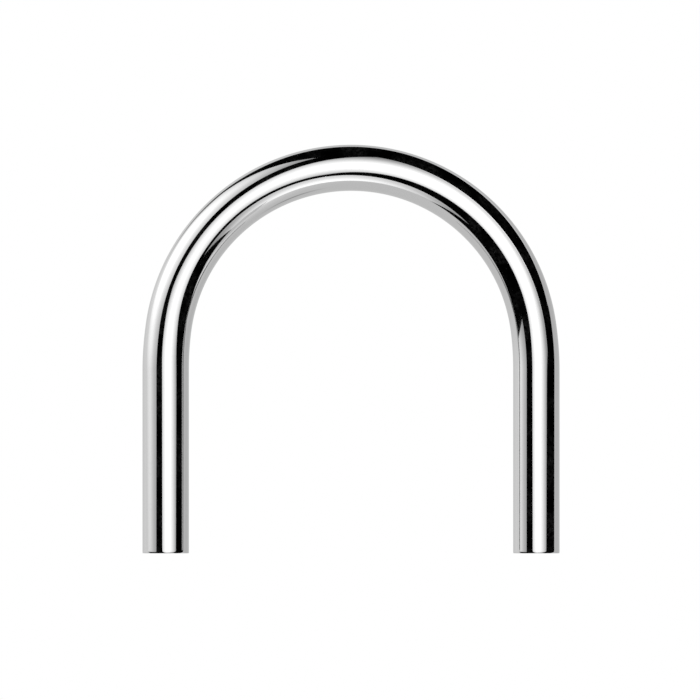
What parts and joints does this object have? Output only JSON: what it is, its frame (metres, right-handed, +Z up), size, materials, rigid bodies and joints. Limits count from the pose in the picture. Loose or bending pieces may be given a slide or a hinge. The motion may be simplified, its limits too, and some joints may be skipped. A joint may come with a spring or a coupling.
{
  "type": "horseshoe barbell bar",
  "caption": "Polished round wire bent into a U with long parallel legs; each flat-cut end has a countersunk screw hole for a ball or ornament, which is not fitted.",
  "frame": {"origin": "under the middle of its box as it lies flat: on the mirror plane between the legs, half way between the top of the bend and the end faces, on the surface that it rests on", "axes": "+X from the left leg to the right one as the picture shows them, +Y from the open ends towards the bend, +Z up from the surface"},
  "size_m": [0.0144, 0.0142, 0.0016],
  "materials": {
    "polished_steel": "polished"
  },
  "bodies": {
    "root": {"horseshoe_bar": "polished_steel"}
  },
  "joints": []
}
